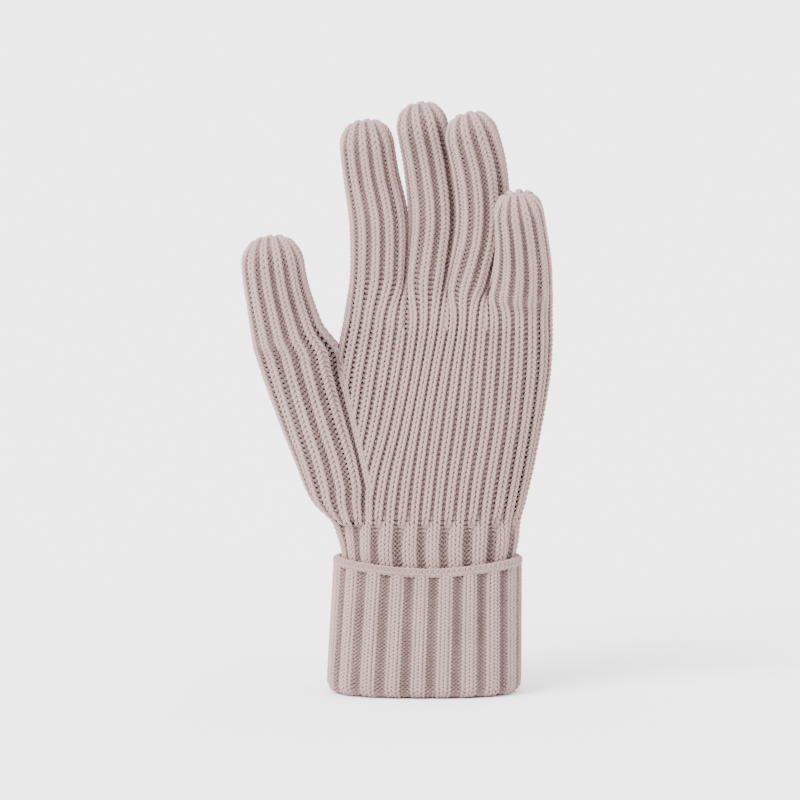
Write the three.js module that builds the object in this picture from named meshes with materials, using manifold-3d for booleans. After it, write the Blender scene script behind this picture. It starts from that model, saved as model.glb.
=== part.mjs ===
// A left-hand glove knitted in rib from wool yarn, with a turned-back cuff.
// Millimetres. +Z runs from the cuff to the fingertips, -Y is the palm side, -X is the thumb side.
// The origin is the centre of the opening that the hand goes in by, at the cuff's lower fold.
import * as THREE from 'three';
import { mergeVertices } from 'three/addons/utils/BufferGeometryUtils.js';
import Module from 'manifold-3d';

const wasm = await Module();
wasm.setup();

// ---- Driving dimensions ----

const WALL = 2.2; // the knit of the hand, the fingers and the hidden cuff layer
const CUFF_WALL = 3; // the thicker 2 x 2 rib of the turned-back layer
const GAP = 0.3; // between pieces that lie against each other
const LAYER_GAP = 0.5; // between the two layers of the cuff

const CUFF_HEIGHT = 54;
const FOLD_HEIGHT = 2.6; // the cuff's lower fold
const EDGE_HEIGHT = 3.2; // the cast-off edge that ends the turned-back layer
const EDGE_PROUD = 0.8; // how far that edge stands out from the layer
const INNER_LAYER_TOP = 50;
const WRIST_TOP = 73; // the knit gives at the wrist between the inner layer and here
const HAND_TOP = 149; // above it the four finger tubes start
const GUSSET_TOP = 133; // above it the thumb tube starts

const BODY_SIDES = 28;
const FINGER_SIDES = 12;
const DOME_STEPS = 3;

// Stations up the glove: height, left side, right side, half depth, where the middle lies in depth.
const CUFF_STATIONS = [
  [0, -39.2, 39.2, 26, 0],
  [CUFF_HEIGHT, -36, 39.4, 23.4, 0],
];
const HAND_STATIONS = [
  [INNER_LAYER_TOP, -32, 35, 19, 0],
  [56, -32.4, 36, 18.6, 0],
  [61, -33.4, 37.4, 18.2, 0],
  [70, -36.4, 38.4, 17.6, 0],
  [79, -37.5, 40.8, 17.2, 0],
  [95, -37.2, 44.4, 16.8, 0],
  [127, -35.6, 50, 15.2, 0],
  [HAND_TOP, -34.2, 51, 13.6, 0],
  [166, -33, 51.4, 12.6, 0],
];
const GUSSET_STATIONS = [
  [70, -36.6, -10, 16.4, 0],
  [79, -45.2, -14, 16.2, 0],
  [95, -52, -20, 15.8, -0.4],
  [111, -58.4, -26, 15.2, -1.2],
  [127, -64.2, -33, 14.4, -2.2],
  [141, -68.6, -38.9, 13.6, -3],
];
// The line where the thumb gusset meets the hand, from the wrist to the thumb's crotch.
const GUSSET_LINE = [
  [-17, 60],
  [-20, 83],
  [-32, 131],
  [-32.5, GUSSET_TOP + GAP],
];
const HAND_TURN = -0.07; // at the fingers the hand is turned a little, so its outer side comes forward

// Each digit's middle line, from the hand through its bends to its tip: x, y, z, half width, half depth.
const DIGITS = {
  index: {
    path: [
      [-21.2, 1.4, HAND_TOP + GAP, 12.7, 12.6],
      [-19, 3, 164, 11.3, 10.9],
      [-18, 4.5, 189, 11.3, 10.2],
      [-21.5, 3, 210.5, 10.8, 10.2],
      [-24, -2, 231, 10.6, 10.2],
    ],
    folds: [8.4, 9.2, 5.4],
  },
  middle: {
    path: [
      [0.6, 0, HAND_TOP + GAP, 8.3, 12.6],
      [1.4, 2, 165, 8, 11],
      [4.4, 3.4, 191, 9.8, 9.8],
      [2, 1, 214.5, 10.1, 10],
      [-2.7, -5, 238, 10.1, 10],
    ],
    folds: [8.4, 9.2, 5.4],
  },
  ring: {
    path: [
      [17, -1.2, HAND_TOP + GAP, 7.7, 12.6],
      [17.1, -1.4, 162, 7.4, 11],
      [23.2, -5.3, 188, 9.5, 9.6],
      [22.4, -9.8, 211, 10.4, 9.8],
      [17.2, -17, 234.3, 10.4, 9.8],
    ],
    folds: [8.4, 9.2, 5.4],
  },
  little: {
    path: [
      [38.2, -2.8, HAND_TOP + GAP, 12.7, 12.2],
      [38.4, -5, 157, 12.4, 11.2],
      [39.6, -14.4, 173.5, 10.3, 9.4],
      [38.6, -23.6, 188, 9.4, 9],
      [36.4, -33, 203, 9.3, 9],
    ],
    folds: [7.6, 8.2, 4.8],
  },
};
const THUMB = {
  path: [
    [-51.3, -2.6, GUSSET_TOP + GAP, 15.4, 13.4],
    [-54.2, -3.4, 143, 14.6, 12.8],
    [-59.2, -6, 164, 12.6, 11.8],
    [-62, -10, 185, 12.6, 11.6],
  ],
  folds: [5.6, 6.2],
};

const WOOL = 0xbfadab;
const WOOL_SHADE = 0xb09c9a;
const WOOL_PALE = 0xcab9b6;

// ---- Helpers ----

const glove = new THREE.Group();

function add(name, geometry, colour) {
  const material = new THREE.MeshStandardMaterial({ color: colour, roughness: 0.95, metalness: 0 });
  const mesh = new THREE.Mesh(geometry, material);
  mesh.name = name;
  glove.add(mesh);
}

// A value at a height, on the smooth curve through a column of the stations.
function along(stations, column, height) {
  const last = stations.length - 2;
  let i = 0;
  while (i < last && height > stations[i + 1][0]) i += 1;
  const [before, from, to, after] = [i - 1, i, i + 1, i + 2].map(
    (n) => stations[Math.min(Math.max(n, 0), last + 1)],
  );
  const slope = (low, high) => (high[column] - low[column]) / (high[0] - low[0] || 1);
  const span = to[0] - from[0];
  const t = (height - from[0]) / span;
  const start = from[column];
  const end = to[column];
  const leave = slope(before, to) * span;
  const arrive = slope(from, after) * span;
  const bend = 3 * (end - start) - 2 * leave - arrive;
  const turn = 2 * (start - end) + leave + arrive;
  return start + t * (leave + t * (bend + t * turn));
}

// The round-cornered section of a station list at a height.
function sectionAt(stations, height) {
  const left = along(stations, 1, height);
  const right = along(stations, 2, height);
  return {
    middle: (left + right) / 2,
    halfWidth: (right - left) / 2,
    halfDepth: along(stations, 3, height),
    depthMiddle: along(stations, 4, height),
  };
}

// How far a direction round the section reaches, 0 to 1, with fuller corners than an ellipse.
const ROUNDNESS = 0.8;
const fuller = (v, roundness = ROUNDNESS) => Math.sign(v) * Math.abs(v) ** roundness;

// Moves every vertex of a lathed geometry; the lathe turns about its own Y.
function moved(geometry, place) {
  const position = geometry.attributes.position;
  for (let i = 0; i < position.count; i += 1) {
    const radius = Math.hypot(position.getX(i), position.getZ(i));
    const across = radius < 1e-6 ? 0 : position.getZ(i) / radius;
    const deep = radius < 1e-6 ? 0 : position.getX(i) / radius;
    const at = place(radius, position.getY(i), across, deep);
    position.setXYZ(i, at.x, at.y, at.z);
  }
  return geometry;
}

function leanAt(height) {
  return HAND_TURN * THREE.MathUtils.smoothstep(height, WRIST_TOP, HAND_TOP);
}

const NOMINAL = 100; // lathe radius that stands for the outer surface

// A ring or tube from a closed profile of [depth under the outer surface, height] points.
function wallOf(stations, profile) {
  const points = profile.map(([depth, height]) => new THREE.Vector2(NOMINAL - depth, height));
  points.push(points[0].clone());
  return moved(new THREE.LatheGeometry(points, BODY_SIDES), (radius, height, across, deep) => {
    const s = sectionAt(stations, height);
    const depth = NOMINAL - radius;
    const x = s.middle + (s.halfWidth - depth) * fuller(across);
    const y = s.depthMiddle + (s.halfDepth - depth) * fuller(deep);
    return new THREE.Vector3(x, y + leanAt(height) * x, height);
  });
}

function spread(from, to, steps) {
  return Array.from({ length: steps + 1 }, (_, i) => from + ((to - from) * i) / steps);
}

// A plain tube wall between two heights.
function tubeOf(stations, low, high, wall, steps) {
  const outer = spread(low, high, steps).map((height) => [0, height]);
  const inner = spread(high, low, steps).map((height) => [wall, height]);
  return wallOf(stations, [...outer, ...inner]);
}

// The space inside a surface that lies some depth under the stations', as a solid.
function coreOf(stations, low, high, depth, steps) {
  const points = spread(low, high, steps).map((height) => new THREE.Vector2(1, height));
  points.unshift(new THREE.Vector2(0, low));
  points.push(new THREE.Vector2(0, high));
  return moved(new THREE.LatheGeometry(points, BODY_SIDES), (radius, height, across, deep) => {
    const s = sectionAt(stations, height);
    const x = s.middle + (s.halfWidth - depth) * radius * fuller(across);
    const y = s.depthMiddle + (s.halfDepth - depth) * radius * fuller(deep);
    return new THREE.Vector3(x, y + leanAt(height) * x, height);
  });
}

function toSolid(geometry) {
  const bare = geometry.clone();
  bare.deleteAttribute('normal');
  bare.deleteAttribute('uv');
  const merged = mergeVertices(bare, 1e-3);
  return new wasm.Manifold(
    new wasm.Mesh({
      numProp: 3,
      vertProperties: merged.attributes.position.array,
      triVerts: new Uint32Array(merged.index.array),
    }),
  );
}

function toGeometry(solid) {
  const mesh = solid.getMesh();
  const geometry = new THREE.BufferGeometry();
  geometry.setAttribute('position', new THREE.BufferAttribute(mesh.vertProperties, 3));
  geometry.setIndex(new THREE.BufferAttribute(mesh.triVerts, 1));
  geometry.computeVertexNormals();
  return geometry;
}

// ---- Cuff ----

function makeCuff() {
  const turnedTop = CUFF_HEIGHT - EDGE_HEIGHT - GAP;
  const innerDepth = CUFF_WALL + LAYER_GAP;
  const foldDepth = innerDepth + WALL;
  const soften = 1.1;
  const foldProfile = [
    [soften, 0],
    [0, soften],
    [0, FOLD_HEIGHT],
    [foldDepth, FOLD_HEIGHT],
    [foldDepth, soften],
    [foldDepth - soften, 0],
  ];
  add('cuff_lower_fold', wallOf(CUFF_STATIONS, foldProfile), WOOL_PALE);

  const layerStart = FOLD_HEIGHT + GAP;
  add('cuff_turned_layer', tubeOf(CUFF_STATIONS, layerStart, turnedTop, CUFF_WALL, 3), WOOL);

  const low = CUFF_HEIGHT - EDGE_HEIGHT;
  const middle = CUFF_HEIGHT - EDGE_HEIGHT / 2;
  const edgeProfile = [
    [0, low],
    [-EDGE_PROUD, middle],
    [0, CUFF_HEIGHT],
    [CUFF_WALL, CUFF_HEIGHT],
    [CUFF_WALL, low],
  ];
  add('cuff_cast_off_edge', wallOf(CUFF_STATIONS, edgeProfile), WOOL_PALE);

  const rows = 5;
  const outer = spread(layerStart, INNER_LAYER_TOP, rows).map((height) => [innerDepth, height]);
  const inner = spread(INNER_LAYER_TOP, layerStart, rows).map((height) => [foldDepth, height]);
  add('cuff_inner_layer', wallOf(CUFF_STATIONS, [...outer, ...inner]), WOOL_SHADE);
}

// ---- Wrist, hand and thumb gusset ----

function makeHand() {
  add('wrist_rib', tubeOf(HAND_STATIONS, INNER_LAYER_TOP + GAP, WRIST_TOP, WALL, 5), WOOL_SHADE);

  const start = WRIST_TOP + GAP;
  const rows = 7;
  const palmOuter = toSolid(coreOf(HAND_STATIONS, start, HAND_TOP, 0, rows));
  const palmInner = toSolid(coreOf(HAND_STATIONS, start - 2, HAND_TOP + 2, WALL, rows));
  const gussetOuter = toSolid(coreOf(GUSSET_STATIONS, start, GUSSET_TOP, 0, rows));
  const gussetInner = toSolid(coreOf(GUSSET_STATIONS, start - 2, GUSSET_TOP + 2, WALL, rows));
  const shell = palmOuter.add(gussetOuter).subtract(palmInner).subtract(gussetInner);

  const reach = 100;
  const wedge = (shift) => {
    const shape = new THREE.Shape();
    shape.moveTo(-reach, GUSSET_LINE[0][1]);
    GUSSET_LINE.forEach(([x, z]) => shape.lineTo(x + shift, z));
    shape.lineTo(-reach, GUSSET_LINE.at(-1)[1]);
    const block = new THREE.ExtrudeGeometry(shape, { depth: reach, bevelEnabled: false });
    block.translate(0, 0, -reach / 2);
    block.rotateX(Math.PI / 2);
    return toSolid(block);
  };
  const gusset = shell.intersect(wedge(-GAP / 2));
  const hand = shell.subtract(wedge(GAP / 2));
  add('hand_tube', toGeometry(hand), WOOL);
  add('thumb_gusset', toGeometry(gusset), WOOL_SHADE);
}

// ---- Fingers and thumb ----

// Where a place along a digit lies, and how it is turned there. Whole numbers are the path's points.
function digitFrame(digit, place) {
  const last = digit.path.length - 1;
  const line = new THREE.CatmullRomCurve3(
    digit.path.map(([x, y, z]) => new THREE.Vector3(x, y, z)),
    false,
    'catmullrom',
    0.5,
  );
  const along01 = THREE.MathUtils.clamp(place / last, 0, 1);
  const rise = line.getTangent(along01);
  const straight = 1 - THREE.MathUtils.smoothstep(place, 0, 0.6);
  rise.lerp(new THREE.Vector3(0, 0, 1), straight).normalize();
  const width = new THREE.Vector3(1, 0, 0).addScaledVector(rise, -rise.x).normalize();
  return { centre: line.getPoint(along01), width, depth: rise.clone().cross(width) };
}

const sizeAt = (digit, column, place) =>
  along(
    digit.path.map((point, i) => [i, point[column]]),
    1,
    place,
  );

function lengthBetween(digit, first) {
  const [a, b] = [digit.path[first], digit.path[first + 1]];
  return Math.hypot(b[0] - a[0], b[1] - a[1], b[2] - a[2]);
}

// A stretch of a digit's tube, open at both ends, or closed over the tip.
function digitPiece(digit, from, to, steps) {
  const last = digit.path.length - 1;
  const closes = to === last;
  const tipLength = lengthBetween(digit, last - 1);
  const typical = digit.path[last][3];
  const inside = 1 - WALL / typical;
  const domeStart = last - typical / tipLength;
  const innerRise = last - WALL / tipLength - domeStart;
  const dome = spread(0, Math.PI / 2, DOME_STEPS).slice(1);
  const end = closes ? domeStart : to;
  const outer = spread(from, end, steps).map((place) => [1, place]);
  const inner = spread(end, from, steps).map((place) => [inside, place]);
  const profile = closes
    ? [
        ...dome.map((a) => [inside * Math.cos(a), domeStart + innerRise * Math.sin(a)]).reverse(),
        ...inner,
        ...outer,
        ...dome.map((a) => [Math.cos(a), domeStart + (last - domeStart) * Math.sin(a)]),
      ]
    : [...outer, ...inner, outer[0]];
  const points = profile.map(([r, place]) => new THREE.Vector2(Math.max(r, 0), place));
  const lathe = new THREE.LatheGeometry(points, FINGER_SIDES);
  return moved(lathe, (radius, place, across, deep) => {
    const { centre, width, depth } = digitFrame(digit, place);
    const square = THREE.MathUtils.lerp(0.72, 1, THREE.MathUtils.smoothstep(place, 0, 1.2));
    return centre
      .addScaledVector(width, sizeAt(digit, 3, place) * radius * fuller(across, square))
      .addScaledVector(depth, sizeAt(digit, 4, place) * radius * fuller(deep, square));
  });
}

// A digit is a chain of firm stretches with a soft fold at each bend.
function makeDigit(name, digit, foldNames, firmNames) {
  const last = digit.path.length - 1;
  let from = 0;
  digit.folds.forEach((reach, i) => {
    const bend = i + 1;
    const before = bend - reach / lengthBetween(digit, bend - 1);
    const after = bend + reach / lengthBetween(digit, bend);
    const start = i === 0 ? 0 : before;
    if (i > 0) {
      const stop = before - GAP / lengthBetween(digit, bend - 1);
      add(`${name}_${firmNames[i - 1]}`, digitPiece(digit, from, stop, 1), WOOL);
    }
    add(`${name}_${foldNames[i]}`, digitPiece(digit, start, after, i === 0 ? 4 : 2), WOOL_SHADE);
    from = after + GAP / lengthBetween(digit, bend);
  });
  add(`${name}_${firmNames.at(-1)}`, digitPiece(digit, from, last, 1), WOOL);
}

makeCuff();
makeHand();
for (const [name, digit] of Object.entries(DIGITS)) {
  makeDigit(name, digit, ['root_fold', 'knuckle_fold', 'tip_fold'], ['lower', 'middle', 'tip']);
}
makeDigit('thumb', THUMB, ['root_fold', 'tip_fold'], ['lower', 'tip']);

export default glove;
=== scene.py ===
"""A left-hand glove knitted in rib from wool yarn, with a turned-back 2 x 2 rib cuff.

Every visible stitch is a loop of yarn. Each knitted section is first laid out as a smooth surface
that knows where its wales (columns) and courses (rows) run, and the yarn is then knitted over it.
"""

import math

import bmesh
import bpy
import numpy as np
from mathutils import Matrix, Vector


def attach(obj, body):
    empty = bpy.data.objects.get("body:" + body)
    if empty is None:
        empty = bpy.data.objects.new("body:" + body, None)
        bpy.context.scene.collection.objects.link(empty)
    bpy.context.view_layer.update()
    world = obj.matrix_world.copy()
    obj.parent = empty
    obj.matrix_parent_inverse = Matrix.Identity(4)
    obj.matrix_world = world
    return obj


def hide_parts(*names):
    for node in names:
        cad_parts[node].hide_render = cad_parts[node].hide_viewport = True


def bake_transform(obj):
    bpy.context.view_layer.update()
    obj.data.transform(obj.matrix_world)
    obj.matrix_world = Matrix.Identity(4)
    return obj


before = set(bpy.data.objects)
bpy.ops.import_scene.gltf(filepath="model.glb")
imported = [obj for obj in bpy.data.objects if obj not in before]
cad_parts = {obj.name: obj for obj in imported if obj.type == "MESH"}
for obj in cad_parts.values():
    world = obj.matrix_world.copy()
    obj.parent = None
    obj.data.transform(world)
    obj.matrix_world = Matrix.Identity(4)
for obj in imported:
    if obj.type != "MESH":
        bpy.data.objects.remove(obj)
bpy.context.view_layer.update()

# ---------------------------------------------------------------------------
# Wool yarn. A soft-spun two-ply wool in dusty pink-beige, about 1.3 mm thick,
# with a matte surface, a faint halo of fibres and slight unevenness of dye.
# ---------------------------------------------------------------------------

mm = 0.001
PLY_TWIST = 1900.0  # radians that the ply lines turn in a metre of yarn
FIBRE_FINENESS = 2600  # how fine the fibres are, and then the dye's clouds
CLOUD_FINENESS = 60
FIBRE_STAND = 0.25 * mm
# the yarn's painted shade is darkest this far out, and gone this far out
DARKEST, PALEST = -1.9, 1.3  # mm out from the middle of the knit


def link(tree, source, target):
    tree.links.new(source, target)


def put(tree, kind, **settings):
    made = tree.nodes.new(kind)
    for name, value in settings.items():
        setattr(made, name, value)
    return made


def feed(tree, target, value):
    """Links a socket to an input, or sets the input's own value."""
    if isinstance(value, bpy.types.NodeSocket):
        link(tree, value, target)
    else:
        target.default_value = value


def calc(tree, operation, *values):
    made = put(tree, "ShaderNodeMath", operation=operation)
    for target, value in zip(made.inputs, values):
        feed(tree, target, value)
    return made.outputs[0]


def wool(name, colour, deep, light):
    """Wool yarn: two plies twisted together, a fibre bump and cloudy dye, with a soft sheen, and painted
    shade that darkens it the deeper it lies in the knit.
    """
    material = bpy.data.materials.new(name)
    material.use_nodes = True
    tree = material.node_tree
    shader = tree.nodes["Principled BSDF"]
    shader.inputs["Roughness"].default_value = 0.92
    shader.inputs["Specular IOR Level"].default_value = 0.18
    shader.inputs["Sheen Weight"].default_value = 0.35
    shader.inputs["Sheen Roughness"].default_value = 0.5
    shader.inputs["Sheen Tint"].default_value = (1.0, 0.88, 0.86, 1)

    # the ply lines follow the yarn: its own angle round, and the length along
    yarn = put(tree, "ShaderNodeAttribute", attribute_name="yarn").outputs["Vector"]
    split = put(tree, "ShaderNodeSeparateXYZ")
    link(tree, yarn, split.inputs[0])
    angle = calc(tree, "ARCTAN2", split.outputs[1], split.outputs[0])
    along = calc(tree, "MULTIPLY", split.outputs[2], PLY_TWIST)
    ply = calc(tree, "SINE", calc(tree, "ADD", calc(tree, "MULTIPLY", angle, 2.0), along))
    ply = calc(tree, "MULTIPLY_ADD", ply, 0.5, 0.5)

    place = put(tree, "ShaderNodeTexCoord").outputs["Object"]
    fibre = put(tree, "ShaderNodeTexNoise")
    fibre.inputs["Scale"].default_value = FIBRE_FINENESS
    fibre.inputs["Detail"].default_value = 3
    link(tree, place, fibre.inputs["Vector"])
    cloud = put(tree, "ShaderNodeTexNoise")
    cloud.inputs["Scale"].default_value = CLOUD_FINENESS
    cloud.inputs["Detail"].default_value = 2
    link(tree, place, cloud.inputs["Vector"])

    height = calc(tree, "MULTIPLY_ADD", fibre.outputs["Fac"], 0.55, ply)
    bump = put(tree, "ShaderNodeBump")
    bump.inputs["Strength"].default_value = 0.55
    bump.inputs["Distance"].default_value = FIBRE_STAND
    link(tree, height, bump.inputs["Height"])
    link(tree, bump.outputs[0], shader.inputs["Normal"])

    shade = put(tree, "ShaderNodeMix", data_type="RGBA")
    shade.inputs["A"].default_value = (*deep, 1)
    shade.inputs["B"].default_value = (*light, 1)
    # painted shade: the yarn's colour runs from deep in the knit's valleys to light out on its ridges,
    # by how far out it lies, standing in for the shade between the stitches
    proud = put(tree, "ShaderNodeAttribute", attribute_name="proud").outputs["Fac"]
    painted_valley_shade = put(tree, "ShaderNodeMapRange", interpolation_type="SMOOTHSTEP")
    link(tree, proud, painted_valley_shade.inputs["Value"])
    painted_valley_shade.inputs["From Min"].default_value = DARKEST
    painted_valley_shade.inputs["From Max"].default_value = PALEST
    mottle = calc(tree, "MULTIPLY", cloud.outputs["Fac"], 0.4)
    mottle = calc(tree, "MULTIPLY_ADD", fibre.outputs["Fac"], 0.5, mottle)
    mottle = calc(tree, "MULTIPLY_ADD", ply, 0.1, calc(tree, "SUBTRACT", mottle, 0.5))
    link(tree, calc(tree, "ADD", mottle, painted_valley_shade.outputs[0]), shade.inputs["Factor"])
    link(tree, shade.outputs["Result"], shader.inputs["Base Color"])
    material.diffuse_color = (*colour, 1)
    return material


# the third colour is painted shade for the yarn deep in the valleys, and the fourth the yarn's own
# colour out on the ridges
yarn_wool = wool("wool_yarn", (0.27, 0.18, 0.17), (0.038, 0.0175, 0.0155), (0.3, 0.196, 0.181))
# the inner face's near-black wool is painted shade for the gaps between the stitches
painted_shade_wool = wool("inner_face_painted_shade", (0.06, 0.036, 0.032), (0.03, 0.016, 0.014), (0.065, 0.04, 0.036))

# ---------------------------------------------------------------------------
# Knitting. One length of yarn runs along each course, and bends into one loop
# in each wale. Face loops show their legs in front, and purl loops their heads.
# Rib puts them in turn, so the face wales stand proud as ridges.
# ---------------------------------------------------------------------------

TURN = 2 * math.pi
POINTS_A_STITCH = 2  # on the smooth surface that the yarn is laid over
RIDGE_STEEPNESS = 2.6  # how fast a rib's loops turn from face to purl
CHEVRON_FLATNESS = 0.6  # how much less a stretched valley loop rises and falls
CHEVRON_CALM = 0.6  # and how much less it goes in and out
KNIT_INPUTS = {
    # swings and shares are in wales, heights in courses, and the rest in metres.
    # Where a rib changes to another, it has one value below and one above
    "Surface": ("Geometry", None),
    "Wales in map": ("Float", 80.0),
    "Courses in map": ("Float", 40.0),
    "First wale": ("Float", 0.0),
    "Wales": ("Int", 80),
    "First course": ("Float", 0.0),
    "Courses": ("Int", 40),
    "Wide rib below": ("Float", 0.0),
    "Wide rib above": ("Float", 0.0),
    "Points a loop": ("Int", 12),
    "Yarn radius": ("Float", 0.75 * mm),
    "Yarn sides": ("Int", 5),
    "Loop swing": ("Float", 0.12),
    "Loop height": ("Float", 0.95),
    "Loop depth": ("Float", 0.55 * mm),
    "Lift below": ("Float", 0.9 * mm),
    "Lift above": ("Float", 0.9 * mm),
    "Share below": ("Float", 0.3),
    "Share above": ("Float", 0.3),
    "Change from": ("Float", 0.0),
    "Change to": ("Float", 1.0),
    "Direction": ("Float", 1.0),
    "Stretch below": ("Float", 0.0),
    "Stretch above": ("Float", 0.0),
    "Unevenness": ("Float", 0.05),
    "Seed": ("Float", 1.0),
    "Yarn": ("Material", None),
}


def course_lines(tree, given):
    """A flat grid with a row of points for each course, and only its edges along the courses."""
    grid = put(tree, "GeometryNodeMeshGrid")
    columns = calc(tree, "MULTIPLY_ADD", given["Wales"], given["Points a loop"], 1.0)
    feed(tree, grid.inputs["Size X"], calc(tree, "MULTIPLY", given["Wales"], 1.0))
    feed(tree, grid.inputs["Size Y"], calc(tree, "SUBTRACT", given["Courses"], 1.0))
    feed(tree, grid.inputs["Vertices X"], columns)
    feed(tree, grid.inputs["Vertices Y"], given["Courses"])
    ends = put(tree, "GeometryNodeInputMeshEdgeVertices")
    far, near = put(tree, "ShaderNodeSeparateXYZ"), put(tree, "ShaderNodeSeparateXYZ")
    link(tree, ends.outputs["Position 1"], far.inputs[0])
    link(tree, ends.outputs["Position 2"], near.inputs[0])
    step = calc(tree, "ABSOLUTE", calc(tree, "SUBTRACT", far.outputs["Y"], near.outputs["Y"]))
    cut = put(tree, "GeometryNodeDeleteGeometry", domain="EDGE", mode="EDGE_FACE")
    link(tree, grid.outputs["Mesh"], cut.inputs["Geometry"])
    feed(tree, cut.inputs["Selection"], calc(tree, "GREATER_THAN", step, 0.5))
    return cut.outputs[0]


def place_in_knit(tree, given):
    """Where a point lies, counted in wales and in courses."""
    place = put(tree, "ShaderNodeSeparateXYZ")
    link(tree, put(tree, "GeometryNodeInputPosition").outputs[0], place.inputs[0])
    half_span = calc(tree, "MULTIPLY", given["Wales"], 0.5)
    half_rows = calc(tree, "MULTIPLY", calc(tree, "SUBTRACT", given["Courses"], 1.0), 0.5)
    wale = calc(tree, "ADD", calc(tree, "ADD", place.outputs["X"], half_span), given["First wale"])
    course = calc(tree, "ADD", calc(tree, "ADD", place.outputs["Y"], half_rows), given["First course"])
    return wale, course


def knit_loop(tree, given, wale, course):
    """The loop: a swing to and fro, the squeeze of its wale, a rise and fall, and front to back."""
    turn = calc(tree, "MULTIPLY", wale, TURN)
    twice = calc(tree, "MULTIPLY", turn, 2.0)
    narrow_phase = calc(tree, "MULTIPLY", wale, math.pi)
    wide_phase = calc(tree, "MULTIPLY", narrow_phase, 0.5)
    part = put(tree, "ShaderNodeMapRange", interpolation_type="SMOOTHSTEP")
    feed(tree, part.inputs["Value"], course)
    feed(tree, part.inputs["From Min"], given["Change from"])
    feed(tree, part.inputs["From Max"], given["Change to"])

    def changing(name):
        """A value that eases from one to the other where the rib changes."""
        low, high = given[name + " below"], given[name + " above"]
        return calc(tree, "MULTIPLY_ADD", calc(tree, "SUBTRACT", high, low), part.outputs[0], low)

    wide = changing("Wide rib")

    def either(narrow, broad):
        """One value in 1 x 1 rib, and the other in 2 x 2 rib."""
        return calc(tree, "MULTIPLY_ADD", calc(tree, "SUBTRACT", broad, narrow), wide, narrow)

    ridge = either(calc(tree, "SINE", narrow_phase), calc(tree, "SINE", wide_phase))
    front = calc(tree, "MINIMUM", calc(tree, "MULTIPLY", ridge, RIDGE_STEEPNESS), 1.0)
    front = calc(tree, "MAXIMUM", front, -1.0)
    # in a stretched valley the loops pull open from an arch into a shallow chevron
    stretched = calc(tree, "MULTIPLY", calc(tree, "LESS_THAN", ridge, 0.0), changing("Stretch"))
    swing = calc(tree, "MULTIPLY", calc(tree, "SINE", twice), given["Loop swing"])
    swing = calc(tree, "MULTIPLY", swing, calc(tree, "SUBTRACT", 1.0, stretched))
    rise = calc(tree, "SUBTRACT", calc(tree, "COSINE", turn), 1.0)
    arch = calc(tree, "MULTIPLY_ADD", stretched, -CHEVRON_FLATNESS, 1.0)
    rise = calc(tree, "MULTIPLY_ADD", rise, arch, 1.0)
    rise = calc(tree, "MULTIPLY", rise, given["Loop height"])
    rise = calc(tree, "MULTIPLY", rise, calc(tree, "MULTIPLY", given["Direction"], -1.0))
    broad_squeeze = calc(tree, "MULTIPLY", calc(tree, "COSINE", wide_phase), 2.0)
    squeeze = either(calc(tree, "COSINE", narrow_phase), broad_squeeze)
    squeeze = calc(tree, "MULTIPLY", squeeze, calc(tree, "MULTIPLY", changing("Share"), -1 / math.pi))
    out = calc(tree, "MULTIPLY", calc(tree, "MULTIPLY", calc(tree, "COSINE", twice), front), -1.0)
    out = calc(tree, "MULTIPLY", out, given["Loop depth"])
    out = calc(tree, "MULTIPLY", out, calc(tree, "MULTIPLY_ADD", stretched, -CHEVRON_CALM, 1.0))
    out = calc(tree, "ADD", out, calc(tree, "MULTIPLY", ridge, changing("Lift")))
    return swing, squeeze, rise, out


def unevenness(tree, given, wale, course):
    """How uneven the stitches are, across and up, drifting over a few of them."""
    spot = put(tree, "ShaderNodeCombineXYZ")
    feed(tree, spot.inputs["X"], wale)
    feed(tree, spot.inputs["Y"], course)
    feed(tree, spot.inputs["Z"], given["Seed"])
    drift = put(tree, "ShaderNodeTexNoise")
    link(tree, spot.outputs[0], drift.inputs["Vector"])
    drift.inputs["Scale"].default_value = 0.9
    drift.inputs["Detail"].default_value = 1
    parts = put(tree, "FunctionNodeSeparateColor")
    link(tree, drift.outputs["Color"], parts.inputs[0])
    loose = calc(tree, "MULTIPLY", given["Unevenness"], 2.0)
    return [calc(tree, "MULTIPLY", calc(tree, "SUBTRACT", parts.outputs[i], 0.5), loose) for i in (0, 1)]


def over_surface(tree, given, on_map, out):
    """A stitch's place over the surface, and whether it is off its edge or past its trim line."""

    def sample(value, kind):
        made = put(tree, "GeometryNodeSampleUVSurface", data_type=kind)
        link(tree, given["Surface"], made.inputs["Mesh"])
        link(tree, value, made.inputs["Value"])
        known = put(tree, "GeometryNodeInputNamedAttribute", data_type="FLOAT_VECTOR")
        known.inputs["Name"].default_value = "knit"
        link(tree, known.outputs["Attribute"], made.inputs["UV Map"])
        link(tree, on_map, made.inputs["Sample UV"])
        return made.outputs

    point = sample(put(tree, "GeometryNodeInputPosition").outputs[0], "FLOAT_VECTOR")
    normal = sample(put(tree, "GeometryNodeInputNormal").outputs[0], "FLOAT_VECTOR")
    trim = put(tree, "GeometryNodeInputNamedAttribute", data_type="FLOAT")
    trim.inputs["Name"].default_value = "trim"
    kept = sample(trim.outputs["Attribute"], "FLOAT")
    lift = put(tree, "ShaderNodeVectorMath", operation="SCALE")
    link(tree, normal["Value"], lift.inputs[0])
    feed(tree, lift.inputs["Scale"], out)
    spot = put(tree, "ShaderNodeVectorMath", operation="ADD")
    link(tree, point["Value"], spot.inputs[0])
    link(tree, lift.outputs[0], spot.inputs[1])
    missing = calc(tree, "SUBTRACT", 1.0, point["Is Valid"])
    trimmed = calc(tree, "LESS_THAN", kept["Value"], 0.0)
    gone = calc(tree, "GREATER_THAN", calc(tree, "ADD", missing, trimmed), 0.5)
    return spot.outputs[0], gone


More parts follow.
